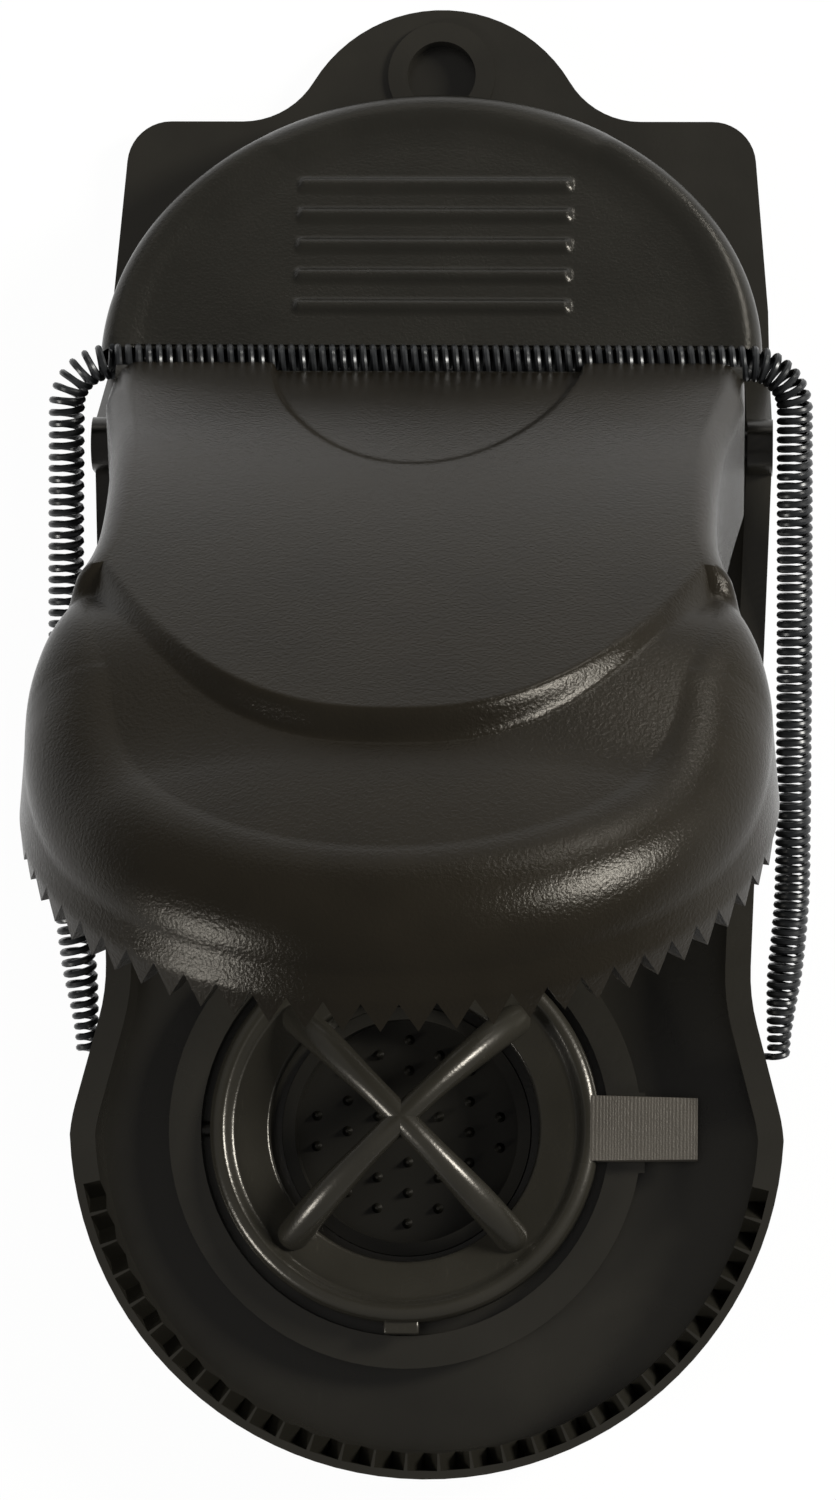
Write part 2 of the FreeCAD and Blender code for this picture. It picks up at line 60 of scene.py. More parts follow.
# Places taken from the frame
JOINTS = {j["name"]: j for j in frame["joints"]}
HINGE_Y, HINGE_Z = (v / MM for v in JOINTS["jaw_hinge"]["pos_m"][1:])
OPEN = math.radians(JOINTS["jaw_hinge"]["range_deg"][1])
TRIG_X, TRIG_Y, PIVOT_Z = (v / MM for v in JOINTS["trigger_rock"]["pos_m"])
FOOT = np.array(JOINTS["spring_right_swing"]["pos_m"]) / MM
COIL_LOW, COIL_HIGH = (np.array(v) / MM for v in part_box("spring_over_jaw"))
TOP = (COIL_LOW + COIL_HIGH) / 2
COIL_R = (COIL_HIGH[2] - COIL_LOW[2]) / 2
BEND_R = FOOT[0] - COIL_HIGH[0]

# Jaw, shut, measured forward from the hinge (a) and up from it (h)
RING_A = 47.9          # centre of the toothed ring
RING_R = 24.4
EDGE_H = -0.7          # lower edge, above the teeth
TOOTH_H = 2.0
TOOTH_STEP = math.radians(360 / 66)
TEETH_SIDE = 14        # teeth on each side of the middle one
TEETH_END = (TEETH_SIDE + 0.5) * TOOTH_STEP
WALL = 1.35
CREASE_A = 2.4         # where the jaw meets the bar under the spring
CHEEK = 22.15          # half width between the hinge ears

# Sear bar, turned back from straight down below the hinge
SEAR_DIP = math.radians(28)
SEAR_REACH = 7.0
SEAR_Y = HINGE_Y - SEAR_REACH * math.sin(SEAR_DIP)
SEAR_Z = HINGE_Z - SEAR_REACH * math.cos(SEAR_DIP)


def smooth(t):
    """Eased step from 0 to 1."""
    t = np.clip(t, 0, 1)
    return t * t * (3 - 2 * t)


def curve_through(points, at):
    """Natural cubic spline through (x, y) points."""
    x, y = np.array(points, float).T
    step = np.diff(x)
    rise = np.diff(y) / step
    count = len(x)
    bend = np.eye(count)
    side = np.zeros(count)
    for i in range(1, count - 1):
        bend[i, i - 1:i + 2] = step[i - 1], 2 * (step[i - 1] + step[i]), step[i]
        side[i] = 6 * (rise[i] - rise[i - 1])
    m = np.linalg.solve(bend, side)
    at = np.clip(np.asarray(at, float), x[0], x[-1])
    k = np.clip(np.searchsorted(x, at) - 1, 0, count - 2)
    t = at - x[k]
    slope = rise[k] - step[k] * (2 * m[k] + m[k + 1]) / 6
    return y[k] + t * slope + m[k] * t**2 / 2 + (m[k + 1] - m[k]) * t**3 / (6 * step[k])


def grid_faces(rows, cols, start=0, wrap_rows=False, wrap_cols=False):
    """Quads of a grid stored row by row."""
    faces = []
    for i in range(rows if wrap_rows else rows - 1):
        for j in range(cols if wrap_cols else cols - 1):
            a = start + i * cols + j
            b = start + i * cols + (j + 1) % cols
            c = start + (i + 1) % rows * cols + (j + 1) % cols
            d = start + (i + 1) % rows * cols + j
            faces.append((a, b, c, d))
    return faces


def make_piece(name, verts, faces, body, slot, material, sharp=40.0, weld=0.0, bevel=0.0):
    """Mesh object from millimetre points, riding on a body."""
    mesh = bpy.data.meshes.new(name)
    mesh.from_pydata([tuple(v) for v in np.asarray(verts) * MM], [], faces)
    bm = bmesh.new()
    bm.from_mesh(mesh)
    if weld:
        bmesh.ops.remove_doubles(bm, verts=bm.verts, dist=weld * MM)
    bmesh.ops.recalc_face_normals(bm, faces=bm.faces)
    bm.to_mesh(mesh)
    bm.free()
    mesh.shade_smooth()
    mesh.set_sharp_from_angle(angle=math.radians(sharp))
    piece = bpy.data.objects.new(name, mesh)
    bpy.context.scene.collection.objects.link(piece)
    mesh.materials.append(material)
    if bevel:
        add_bevel(piece, bevel, sharp)
    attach(piece, body)
    return piece


def add_bevel(piece, width, angle, segments=2):
    """Rounded edges, width in millimetres, where faces meet at more than angle."""
    mod = piece.modifiers.new("edge", "BEVEL")
    mod.width = width * MM
    mod.segments = segments
    mod.limit_method = "ANGLE"
    mod.angle_limit = math.radians(angle)
    mod.harden_normals = False
    mod.use_clamp_overlap = True


def join(name, parts, body, slot, material, **options):
    """One piece from several (verts, faces) shells."""
    verts, faces = [], []
    for v, f in parts:
        start = len(verts)
        verts.extend(map(tuple, v))
        faces.extend(tuple(i + start for i in face) for face in f)
    return make_piece(name, verts, faces, body, slot, material, **options)


def lathe(profile, segments):
    """Closed (r, z) profile turned about the vertical axis."""
    turn = np.linspace(0, 2 * math.pi, segments, endpoint=False)
    profile = np.array(profile, float)
    verts = [(r * math.cos(t), r * math.sin(t), z) for t in turn for r, z in profile]
    return verts, grid_faces(segments, len(profile), wrap_rows=True, wrap_cols=True)


def frames_along(path):
    """Tangents and a twist-free pair of normals along a path."""
    path = np.asarray(path, float)
    tangent = np.gradient(path, axis=0)
    tangent /= np.linalg.norm(tangent, axis=1)[:, None]
    normal = np.zeros_like(path)
    first = np.cross(tangent[0], (0.0, 0.0, 1.0) if abs(tangent[0][2]) < 0.9 else (0.0, 1.0, 0.0))
    normal[0] = first / np.linalg.norm(first)
    for i in range(1, len(path)):
        n = normal[i - 1] - tangent[i] * normal[i - 1].dot(tangent[i])
        normal[i] = n / np.linalg.norm(n)
    return tangent, normal, np.cross(tangent, normal)


def tube(path, radius, sides=12):
    """Round bar along a path, closed with flat ends. radius may vary along it."""
    path = np.asarray(path, float)
    _, n, b = frames_along(path)
    radius = np.broadcast_to(radius, len(path))
    verts = []
    for i, p in enumerate(path):
        for k in range(sides):
            t = 2 * math.pi * k / sides
            verts.append(p + radius[i] * (math.cos(t) * n[i] + math.sin(t) * b[i]))
    faces = grid_faces(len(path), sides, wrap_cols=True)
    faces.append(tuple(range(sides))[::-1])
    faces.append(tuple(range(len(verts) - sides, len(verts))))
    return verts, faces


# Materials -----------------------------------------------------------------

GRAIN_DEPTH = 0.05
ROUGH_SPREAD = 0.125   # share by which roughness wanders either way


def add_node(nt, kind, values=None):
    """New shader node of a kind, with the given values on its inputs."""
    node = nt.nodes.new("ShaderNode" + kind)
    for name, value in (values or {}).items():
        node.inputs[name].default_value = value
    return node


def new_material(name):
    """Material, its node tree and its Principled shader."""
    mat = bpy.data.materials.new(name)
    mat.use_nodes = True
    return mat, mat.node_tree, mat.node_tree.nodes["Principled BSDF"]


def plastic(name, colour, rough, grain, grain_mm, spec=0.5, rubbed=2.2, scuffs=0.4):
    """Moulded plastic: fine grain, faint flow marks and sparse thin scuffs.

    rubbed is how many times lighter a scuff is, and scuffs is how much of it shows.
    """
    mat, nt, bsdf = new_material(name)
    bsdf.inputs["IOR"].default_value = 1.5
    bsdf.inputs["Specular IOR Level"].default_value = spec
    bsdf.inputs["Specular Tint"].default_value = (1.0, 0.96, 0.90, 1)
    place = add_node(nt, "TexCoord")
    fine = add_node(nt, "TexNoise", {"Scale": 1 / (grain_mm * MM), "Detail": 3, "Roughness": 0.6})
    broad = add_node(nt, "TexNoise", {"Scale": 120, "Detail": 4})
    tone = add_node(nt, "ValToRGB")
    dark, light = tone.color_ramp.elements
    dark.position, light.position = 0.3, 0.75
    dark.color = (*[c * 0.86 for c in colour], 1)
    light.color = (*[c * 1.16 for c in colour], 1)
    shine = add_node(nt, "MapRange", {
        "From Min": 0.3, "From Max": 0.7,
        "To Min": rough * (1 - ROUGH_SPREAD), "To Max": rough * (1 + ROUGH_SPREAD),
    })
    bump = add_node(nt, "Bump", {"Strength": grain, "Distance": GRAIN_DEPTH * MM})
    for noise in (fine, broad):
        nt.links.new(place.outputs["Object"], noise.inputs["Vector"])
    nt.links.new(broad.outputs["Fac"], tone.inputs["Fac"])
    nt.links.new(broad.outputs["Fac"], shine.inputs["Value"])
    nt.links.new(fine.outputs["Fac"], bump.inputs["Height"])
    # scuffs: noise drawn out into streaks, of which only the peaks show
    stretch = add_node(nt, "Mapping", {"Rotation": (0.2, 0.1, 0.9), "Scale": (1, 0.06, 1)})
    streak = add_node(nt, "TexNoise", {"Scale": 5200, "Detail": 2})
    scuff = add_node(nt, "MapRange", {"From Min": 0.68, "From Max": 0.90, "To Max": scuffs})
    mix = add_node(nt, "Mix")
    mix.data_type = "RGBA"
    factor, plain, scuffed, mixed = mix.inputs[0], mix.inputs[6], mix.inputs[7], mix.outputs[2]
    scuffed.default_value = (*[c * rubbed for c in colour], 1)
    nt.links.new(place.outputs["Object"], stretch.inputs["Vector"])
    nt.links.new(stretch.outputs["Vector"], streak.inputs["Vector"])
    nt.links.new(streak.outputs["Fac"], scuff.inputs["Value"])
    nt.links.new(scuff.outputs["Result"], factor)
    nt.links.new(tone.outputs["Color"], plain)
    nt.links.new(mixed, bsdf.inputs["Base Color"])
    nt.links.new(shine.outputs["Result"], bsdf.inputs["Roughness"])
    nt.links.new(bump.outputs["Normal"], bsdf.inputs["Normal"])
    return mat


def coated_wire():
    """Black coated spring wire, with uneven tone and shine."""
    mat, nt, bsdf = new_material("spring_wire")
    bsdf.inputs["Metallic"].default_value = 0.4
    place = add_node(nt, "TexCoord")
    noise = add_node(nt, "TexNoise", {"Scale": 900, "Detail": 3})
    tone = add_node(nt, "ValToRGB")
    dark, light = tone.color_ramp.elements
    dark.color = (0.009, 0.010, 0.011, 1)
    light.color = (0.026, 0.028, 0.031, 1)
    shine = add_node(nt, "MapRange", {"To Min": 0.22, "To Max": 0.42})
    nt.links.new(place.outputs["Object"], noise.inputs["Vector"])
    nt.links.new(noise.outputs["Fac"], tone.inputs["Fac"])
    nt.links.new(noise.outputs["Fac"], shine.inputs["Value"])
    nt.links.new(tone.outputs["Color"], bsdf.inputs["Base Color"])
    nt.links.new(shine.outputs["Result"], bsdf.inputs["Roughness"])
    return mat


JAW_MAT = plastic("jaw_satin", (0.0110, 0.0092, 0.0064), 0.23, 0.8, 0.24, spec=0.14, scuffs=0.0)
LEVER_MAT = plastic("lever_black", (0.0085, 0.0080, 0.0062), 0.26, 0.6, 0.2, spec=0.35, scuffs=0.15)
BASE_MAT = plastic("base_black", (0.0112, 0.0104, 0.0082), 0.26, 0.15, 0.35)
TRIGGER_MAT = plastic("trigger_black", (0.0185, 0.0172, 0.0136), 0.26, 0.3, 0.26, spec=0.4, scuffs=0.8)
# the pad is the trigger's black plastic painted a lighter grey: painted light for the lamp light that its
# matte top catches
PAD_PAINTED_LIGHT_MAT = plastic("pad_painted_light", (0.048, 0.0435, 0.0373), 0.50, 0.9, 0.12, spec=0.4, rubbed=1.7)
# the cup's black is made darker than the other parts: painted shade for the well under the ring that it
# sits in
CUP_PAINTED_SHADE_MAT = plastic("cup_painted_shade", (0.0070, 0.0066, 0.0052), 0.36, 0.1, 0.3, spec=0.3)
WIRE_MAT = coated_wire()


# Spring --------------------------------------------------------------------

WIRE_R = 0.25
WIRE_SIDES = 8
TURN_POINTS = 16
TOP_PITCH = 0.72
# each side's sign, name and pitch; the real one is stretched unevenly
SPRING_SIDES = ((-1, "left", 0.80), (1, "right", 0.66))
FOOT_TAPER = 0.45      # how far the coil draws in at its foot
FOOT_IN = 0.75         # and how far its line turns in there
TAPER_LENGTH = 7.0
BOW = {-1: 0.4, 1: 0.15}   # how far each side bows out


def coil(path, pitch, taper=0.0):
    """Centre line of wire wound round a path, drawn in by taper over its last turns."""
    path = np.asarray(path, float)
    run = np.concatenate([[0], np.cumsum(np.linalg.norm(np.diff(path, axis=0), axis=1))])
    turns = run[-1] / pitch
    count = int(turns * TURN_POINTS) + 1
    s = np.linspace(0, run[-1], count)
    _, n, b = frames_along(path)
    mid = np.stack([np.interp(s, run, path[:, k]) for k in range(3)], 1)
    n = np.stack([np.interp(s, run, n[:, k]) for k in range(3)], 1)
    b = np.stack([np.interp(s, run, b[:, k]) for k in range(3)], 1)
    angle = 2 * math.pi * s / pitch
    r = COIL_R - WIRE_R - taper * smooth((s - run[-1] + TAPER_LENGTH) / TAPER_LENGTH)
    return mid + r[:, None] * (np.cos(angle)[:, None] * n + np.sin(angle)[:, None] * b)


def side_path(side):
    """Centre line of a side span: the bend off the jaw, then the bowed run to the foot."""
    along = (FOOT - TOP) * (0, 1, 1)
    along /= np.linalg.norm(along)
    bend_centre = TOP + along * BEND_R + (FOOT[0] - BEND_R, 0, 0)
    turn = np.linspace(0, math.pi / 2, 24)
    bend = [
        bend_centre - along * BEND_R * math.cos(t) + np.array((BEND_R * math.sin(t), 0, 0))
        for t in turn
    ]
    t = np.linspace(0, 1, 200)[1:]
    run = bend[-1] + (FOOT - bend[-1]) * t[:, None]
    run[:, 0] += BOW[side] * np.sin(np.minimum(t * 1.6, 1) * math.pi / 2) * smooth((1 - t) / 0.35)
    run[:, 0] -= FOOT_IN * smooth((t - 0.72) / 0.28)
    path = np.array(bend + list(run))
    path[:, 0] *= side
    return path


def make_springs():
    x = np.linspace(-COIL_HIGH[0], COIL_HIGH[0], 240)
    straight = np.stack([x, np.full_like(x, TOP[1]), np.full_like(x, TOP[2])], 1)
    wire = coil(straight, TOP_PITCH)
    over = join("spring_coil_top", [tube(wire, WIRE_R, WIRE_SIDES)], "jaw", "spring", WIRE_MAT)
    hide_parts("spring_over_jaw")
    # where the wire ends: 0.1 mm out from the inner side of the CAD side spring
    post_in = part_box("spring_right")[0][0] / MM + 0.1
    for side, name, pitch in SPRING_SIDES:
        wire = list(coil(side_path(side), pitch, FOOT_TAPER))
        # the last turn runs into the hook that goes through the post
        end = np.array(wire[-1])
        hook = np.array((side * FOOT[0] - side * 1.6, FOOT[1], FOOT[2]))
        wire += [end * (1 - smooth(t)) + hook * smooth(t) for t in np.linspace(0.1, 1, 10)]
        wire.append(np.array((side * post_in, FOOT[1], FOOT[2])))
        shell = tube(wire, WIRE_R, WIRE_SIDES)
        piece = join("spring_coil_" + name, [shell], "spring_" + name, "spring", WIRE_MAT)
        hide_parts("spring_" + name)
        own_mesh(piece)


def rotate_x(yz, angle):
    """A (y, z) pair turned about the X axis."""
    c, s = math.cos(angle), math.sin(angle)
    return np.array((yz[0] * c - yz[1] * s, yz[0] * s + yz[1] * c))


# Jaw -----------------------------------------------------------------------

def set_pose(x, a, h):
    """Row-frame points of the shut jaw's (x, a, h) once it is opened."""
    c, s = math.cos(OPEN), math.sin(OPEN)
    return np.stack([x, HINGE_Y - a * c + h * s, HINGE_Z + a * s + h * c], -1)


def half_width(a):
    """Half the jaw's width behind the toothed ring."""
    return curve_through([
        (-2.5, 22.3), (2.4, 22.75), (8, 22.3), (15, 21.3), (22, 20.6), (30, 20.3), (35, 20.6),
        (38, 21.4), (41, 22.7), (44, 23.75), (46, 24.25), (RING_A, RING_R), (RING_A + 1.5, RING_R),
    ], a)


def panel_height(x, a):
    """Upper, domed part of the jaw's top."""
    top = curve_through([
        (0, 7.0), (2.4, 7.75), (12, 10.2), (22, 11.6), (32, 12.0), (44, 11.45), (60, 9.7),
    ], a)
    return top - 0.8 * (x / 20) ** 2 * smooth((a - 2) / 14)


def tier_height(x, a):
    """Lower part of the jaw's top, inside the toothed ring."""
    r = np.hypot(x, a - RING_A)
    return 8.8 - 2.6 * (r / 20.6) ** 2 + 3.5 * smooth((58 - a) / 16)


RIDGE_A = 55.8         # front of the upper tier on the centre line
RIDGE_SIDE_A = 37.3    # and at the waist
RIDGE_HALF = 20.4
RIDGE_POWER = 2.4
RIDGE_WIDTH = 1.25
SCALLOP_A = 1.5        # middle of the half-round recess, under the spring
SCALLOP_HALF = 11.0
SCALLOP_REACH = 24.0


def scallop(x, a):
    """1 inside the half-round recess against the crease, 0 outside."""
    reach = np.sqrt((x / SCALLOP_HALF) ** 2 + ((a - SCALLOP_A) / SCALLOP_REACH) ** 2)
    return smooth((1 - reach) * SCALLOP_HALF / 0.4)


def jaw_height(x, a):
    """Top of the jaw: the panel, the ridge at its edge, the tier below it and the recess."""
    across = np.abs(x) / RIDGE_HALF
    fall = RIDGE_A - RIDGE_SIDE_A
    slope = fall * RIDGE_POWER / RIDGE_HALF * across ** (RIDGE_POWER - 1)
    past = (RIDGE_A - fall * across**RIDGE_POWER - a) / np.sqrt(1 + slope**2)
    t = smooth(past / RIDGE_WIDTH + 0.5)
    low, high = tier_height(x, a), panel_height(x, a)
    deep = 0.3 + 0.45 * np.clip(1 - (a - SCALLOP_A) / 14, 0, 1) ** 2
    return low + (high - low) * t - scallop(x, a) * deep


POINTS_PER_TOOTH = 8


def jaw_outline():
    """Right half of the rim, from the crease to the middle of the front.

    Gives its points, their inward normals, and their angles round the toothed ring.
    """
    sides = np.linspace(CREASE_A, RING_A, 92)[:-1]
    pts = [(float(half_width(a)), a) for a in sides]
    steps = list(np.linspace(math.pi / 2, TEETH_END, 24)[:-1])
    steps += list(np.linspace(TEETH_END, 0, (2 * TEETH_SIDE + 1) * POINTS_PER_TOOTH // 2 + 1))
    pts += [(RING_R * math.sin(t), RING_A + RING_R * math.cos(t)) for t in steps]
    angle = [math.pi] * len(sides) + steps
    pts = np.array(pts)
    tangent = np.gradient(pts, axis=0)
    tangent[-1] = (-1, 0)
    tangent /= np.linalg.norm(tangent, axis=1)[:, None]
    normal = np.stack([-tangent[:, 1], tangent[:, 0]], 1)
    normal[:len(sides)] = (-1, 0)
    return pts, normal, np.array(angle)


# Between the sides and the toothed ring the jaw's section changes smoothly
FRONT_A = 38           # where that change starts
FRONT_LENGTH = 12
FRONT_LEAN = 0.5       # how far the ring's wall leans in
SIDE_SHOULDER_R = 1.9
FRONT_SHOULDER_R = 5.7

# Rows of the jaw's grids up the wall, round the shoulder and over the top.
# The outside has OUTER_PER_INNER rows on top for each of the inside's.
WALL_ROWS = 14
ROUND_ROWS = 21
INNER_TOP_ROWS = 36
OUTER_PER_INNER = 3
SHELL_WELD = 0.004


def jaw_shell(inset, drop, top_rows):
    """Half of the jaw's outside, or its inside with an inset and drop of a wall's thickness.

    The grid runs from the rim over the shoulder to the middle.
    """
    pts, normal, angle = jaw_outline()
    x, a = pts[:, 0], pts[:, 1]
    front = smooth((a - FRONT_A) / FRONT_LENGTH)
    # the teeth, of which the rearmost are lower
    wave = np.abs((angle / TOOTH_STEP + 0.5) % 1 - 0.5) * 2
    toothed = angle <= TEETH_END + 1e-6
    tall = TOOTH_H * (1 - 0.35 * smooth((angle / TOOTH_STEP - 10) / 4))
    low = EDGE_H - np.where(toothed, tall * (1 - wave), 0)
    # near the hinge the wall's foot steps in between the base's walls
    foot = np.maximum(x - CHEEK, 0) * (1 - front) * smooth((14 - a) / 6)
    lean = FRONT_LEAN * front + foot
    radius = SIDE_SHOULDER_R + (FRONT_SHOULDER_R - SIDE_SHOULDER_R) * front
    target = np.stack([np.zeros_like(x), np.minimum(a, RING_A)], 1)
    rows = []
    wall_steps = np.linspace(0, 1, WALL_ROWS)
    round_steps = np.linspace(0, math.pi / 2, ROUND_ROWS + 1)[1:]
    top_steps = np.linspace(0, 1, top_rows + 1)[1:]
    start = pts + normal * (lean + radius)[:, None]
    shoulder = jaw_height(start[:, 0], start[:, 1]) - drop
    centre_h = shoulder - radius
    r_in = np.maximum(radius - inset, 0.2)
    for t in wall_steps:
        height = low + (centre_h - low) * t
        rise = np.maximum(height - EDGE_H, 0) / (centre_h - EDGE_H)
        depth = inset + foot + (lean - foot) * rise
        rows.append((pts + normal * depth[:, None], height))
    for t in round_steps:
        depth = inset + lean + r_in - r_in * math.cos(t)
        rows.append((pts + normal * depth[:, None], centre_h + (shoulder - centre_h) * math.sin(t)))
    inner = rows[-1][0]
    for t in top_steps:
        p = inner + (target - inner) * t
        rows.append((p, jaw_height(p[:, 0], p[:, 1]) - drop))
    grid = np.array([np.column_stack([p, h]) for p, h in rows])
    return grid


def make_jaw():
    outer = jaw_shell(0, 0, OUTER_PER_INNER * INNER_TOP_ROWS)
    inner = jaw_shell(WALL, WALL + 0.05, INNER_TOP_ROWS)
    parts = []
    for flip in (1, -1):
        for grid in (outer, inner):
            rows, cols = grid.shape[:2]
            g = grid.reshape(-1, 3) * (flip, 1, 1)
            parts.append((set_pose(g[:, 0], g[:, 1], g[:, 2]), grid_faces(rows, cols)))
        # rim faces between the two walls, then the edge at the crease. There the rows
        # match one to one up to the top, where only each third outer row is used
        bend = WALL_ROWS + ROUND_ROWS
        strips = (
            (outer[0], inner[0]),
            (outer[:bend, 0], inner[:bend, 0]),
            (outer[bend - 1::OUTER_PER_INNER, 0], inner[bend - 1:, 0]),
        )
        for edge_out, edge_in in strips:
            g = np.concatenate([edge_out, edge_in]) * (flip, 1, 1)
            parts.append((set_pose(g[:, 0], g[:, 1], g[:, 2]), grid_faces(2, len(edge_out))))
    jaw = join("jaw_shell", parts, "jaw", "jaw", JAW_MAT, weld=SHELL_WELD, sharp=38)
    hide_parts("jaw")
    make_trough()
    make_lever()
    make_cheeks()
    make_sear()


def make_trough():
    """Bar under the spring, with the groove that the spring lies in."""
    groove_r = COIL_R + 0.1
    coil_yz = rotate_x(TOP[1:] - (HINGE_Y, HINGE_Z), OPEN)
    coil_a, coil_h = -coil_yz[0], coil_yz[1]
    half = CHEEK - 0.15
    x = np.linspace(-half, half, 221)
    verts = []
    for xi in x:
        # the lip is lower along the recess
        low = float(smooth((SCALLOP_HALF + 0.3 - abs(xi)) / 0.5))
        profile = [(3.6, 7.2 - 0.45 * low), (2.9, 7.5 - 0.45 * low)]
        profile += [
            (coil_a + groove_r * math.cos(t), coil_h + groove_r * math.sin(t))
            for t in np.linspace(0.3 - 0.3 * low, -math.pi - 0.6, 50)
        ]
        profile += [(-1.3, 6.6), (-1.7, 5.2), (-1.2, 4.4), (2.6, 4.3), (3.5, 4.8)]
        verts += [set_pose(np.array(xi), np.array(p[0]), np.array(p[1])) for p in profile]
    n = len(profile)
    faces = grid_faces(len(x), n, wrap_cols=True)
    faces.append(tuple(range(n)))
    faces.append(tuple(range(len(verts) - n, len(verts))))
    make_piece("jaw_groove", verts, faces, "jaw", "jaw", LEVER_MAT, sharp=50, bevel=0.12)


# Lever: a half ellipse behind the spring, with v along its slope and n off it
LEVER_HALF = 23.4
LEVER_LEN = 21.8
LEVER_TILT = math.radians(22.9)
LEVER_ROOT = (26.3, 15.6)
LEVER_SKIRT = 2.6
LEVER_WALL = 1.25
LEVER_TOP_WALL = 1.35
EDGE_ROUND = 1.35      # rounding of its edge, which the finger lip adds to
LIP_ROUND = 0.75
LIP_HALF = 13.0
RIB_COUNT = 5
RIB_FIRST = 3.6
RIB_STEP = 2.55
RIB_HALF = 10.0
RIB_HEIGHT = 0.32


def lever_pose(x, v, n):
    """Row-frame points of the lever's (x, v, n)."""
    c, s = math.cos(LEVER_TILT), math.sin(LEVER_TILT)
    return np.stack([x, LEVER_ROOT[0] + v * c + n * s, LEVER_ROOT[1] - v * s + n * c], -1)


def lever_height(x, v):
    """Top of the lever: finger ribs on a shallow dish."""
    ribs = np.zeros_like(x)
    for k in range(RIB_COUNT):
        across = 1 - np.abs(v - RIB_FIRST - RIB_STEP * k) / 0.75
        along = (RIB_HALF - np.abs(x)) / 0.6
        ribs += smooth(across * 1.2) * smooth(along)
    reach = np.sqrt((x / LEVER_HALF) ** 2 + (v / LEVER_LEN) ** 2)
    dish = 0.3 * smooth((1 - reach) * 22 / 5)
    return RIB_HEIGHT * ribs - dish


def make_lever():
    turn = np.linspace(0, math.pi, 440)
    # finger lip: the tip stands out a little between two steps
    lip = smooth((LIP_HALF - np.abs(LEVER_HALF * np.cos(turn))) / 0.7)
    stretch = 1 + 0.022 * lip
    pts = np.stack([LEVER_HALF * np.cos(turn), LEVER_LEN * np.sin(turn) * stretch], 1)
    outward = np.stack([np.cos(turn) / LEVER_HALF, np.sin(turn) / LEVER_LEN], 1)
    normal = -outward / np.linalg.norm(outward, axis=1)[:, None]
    top = EDGE_ROUND + LIP_ROUND * lip
    shells = []
    for inset, drop, top_rows in ((0.0, 0.0, 150), (LEVER_WALL, LEVER_TOP_WALL, 20)):
        r = np.maximum(top - inset, 0.3)
        rows = []
        for t in np.linspace(0, 1, 8):
            rows.append((pts + normal * inset, -LEVER_SKIRT + (LEVER_SKIRT - top) * t))
        for t in np.linspace(0, math.pi / 2, 16)[1:]:
            depth = inset + r * (1 - math.cos(t))
            rows.append((pts + normal * depth[:, None], -top + (top - drop) * math.sin(t)))
        inner = rows[-1][0]
        for t in np.linspace(0, 1, top_rows)[1:]:
            p = inner * (1 - t)
            height = lever_height(p[:, 0], p[:, 1]) * smooth(t * 12) if inset == 0 else 0
            rows.append((p, height - drop + np.zeros(len(pts))))
        shells.append(np.array([np.column_stack([p, h]) for p, h in rows]))
    parts = []
    for grid in shells:
        g = grid.reshape(-1, 3)
        placed = lever_pose(g[:, 0], np.maximum(g[:, 1], -0.3), g[:, 2])
        parts.append((placed, grid_faces(*grid.shape[:2])))
    g = np.concatenate([shells[0][0], shells[1][0]])
    parts.append((lever_pose(g[:, 0], g[:, 1], g[:, 2]), grid_faces(2, len(pts))))
    join("jaw_lever", parts, "jaw", "jaw", LEVER_MAT, weld=0.003, sharp=50)


def make_cheeks():
    """Round lugs at the hinge with their trunnions."""
    thick = 1.35
    profile = [(0, 0), (2.15, 0), (2.4, 0.25), (2.4, 1.1), (2.15, thick), (1.1, thick)]
    profile += [(1.1, 3.0), (0.95, 3.15), (0, 3.15)]
    verts, faces = lathe(profile, 64)
    v = np.array(verts)
    for side, name in ((-1, "left"), (1, "right")):
        x = side * (CHEEK - thick + v[:, 2])
        pts = np.stack([x, HINGE_Y + v[:, 0], HINGE_Z + v[:, 1]], 1)
        make_piece("jaw_trunnion_" + name, pts, faces, "jaw", "jaw", LEVER_MAT, sharp=40, weld=0.001)


def make_sear():
    """Stirrup under the hinge that the trigger's hook holds."""
    bar_r = 0.8
    parts = []
    for x in (TRIG_X - 2.6, TRIG_X + 2.6):
        line = [
            (x, HINGE_Y - r * math.sin(SEAR_DIP), HINGE_Z - r * math.cos(SEAR_DIP))
            for r in np.linspace(SEAR_REACH, -6.5, 20)
        ]
        parts.append(tube(line, bar_r, 16))
    across = np.linspace(TRIG_X - 3.3, TRIG_X + 3.3, 20)
    parts.append(tube([(x, SEAR_Y, SEAR_Z) for x in across], bar_r, 20))
    join("jaw_sear", parts, "jaw", "jaw", LEVER_MAT)


# Trigger -------------------------------------------------------------------

TILT = math.radians(7)
RING_OUT = 13.9
CAGE_SPAN = 10.9       # from the middle to the foot of a cage bar
CAGE_LOW = 7.2
CAGE_RISE = 4.85
PAD_TOP = 7.85
PAD_LOW = 6.85
PAD_HALF = 2.35
PAD_NARROWS = 0.14
PAD_RIB_STEP = 0.23
PAD_RIB_HEIGHT = 0.009
PIN_R = 0.55
ARM_HALF = 1.2
ARM_THICK = 1.3
HOOK_REACH = 6.05      # from the hinge to the hook's tip, inside the sear's path


def tilted(points):
    """Row-frame points of the trigger, from ones about its centre with the ring level."""
    p = np.asarray(points, float)
    c, s = math.cos(TILT), math.sin(TILT)
    y, z = p[:, 1], p[:, 2] - PIVOT_Z
    return np.stack([p[:, 0] + TRIG_X, TRIG_Y + y * c + z * s, PIVOT_Z - y * s + z * c], 1)


